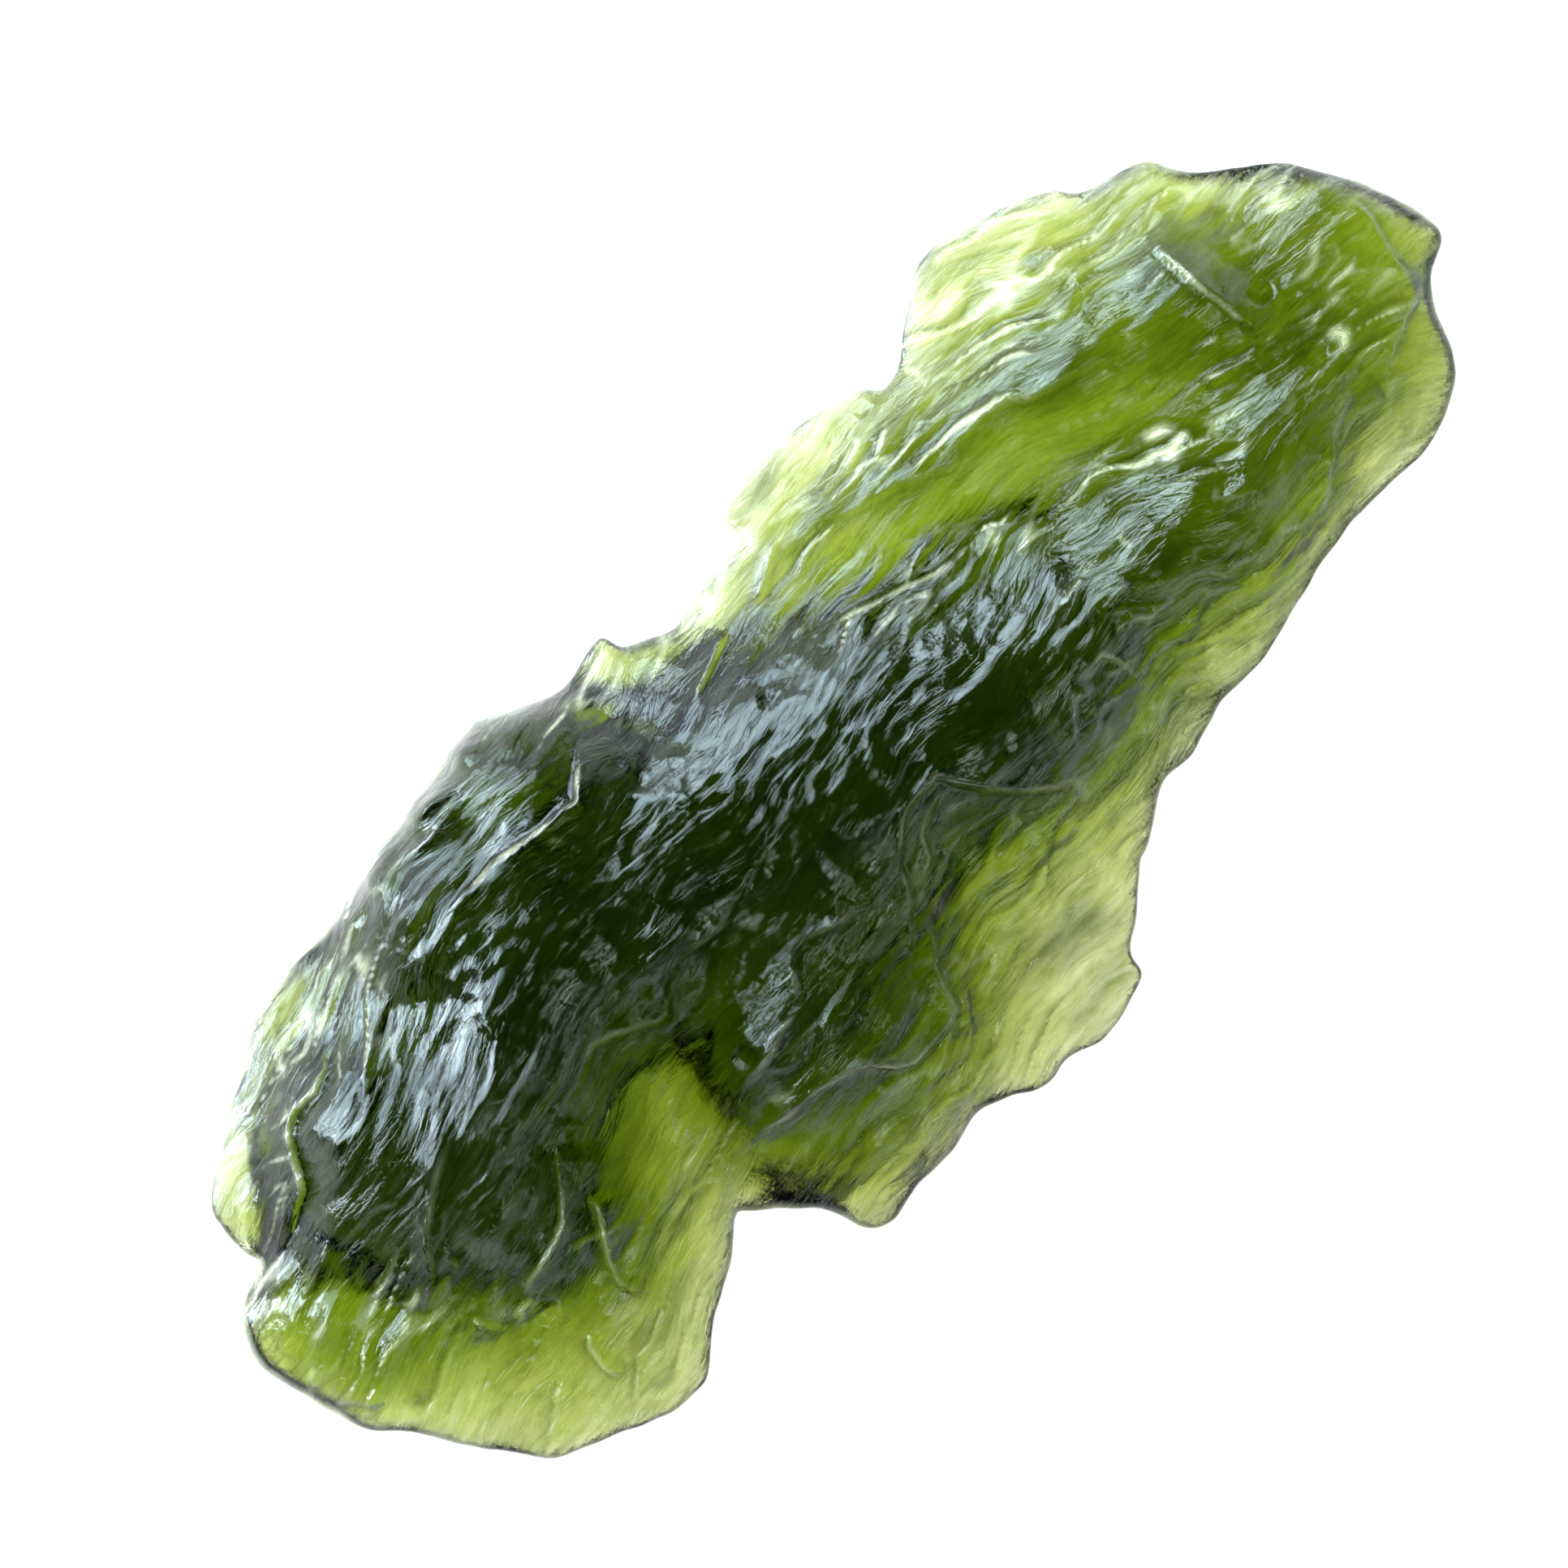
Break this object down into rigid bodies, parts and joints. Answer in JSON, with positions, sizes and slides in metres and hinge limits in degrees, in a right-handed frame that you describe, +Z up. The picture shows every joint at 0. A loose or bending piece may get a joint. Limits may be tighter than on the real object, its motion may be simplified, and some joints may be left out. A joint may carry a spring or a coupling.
{
  "type": "moldavite",
  "caption": "Raw moldavite: a long flattened drop of green natural glass with an etched surface of scoops, crests and a thin wavy edge.",
  "frame": {"origin": "centre of the bounding box at the surface the stone lies on", "axes": "+X along the stone's length towards its narrower end, +Y across it, +Z up through the face that the picture shows"},
  "size_m": [0.0362, 0.0152, 0.0068],
  "materials": {
    "moldavite_glass": "natural etched bottle-green glass, glossy and see-through where thin"
  },
  "bodies": {
    "root": {"moldavite": "moldavite_glass"}
  },
  "joints": []
}
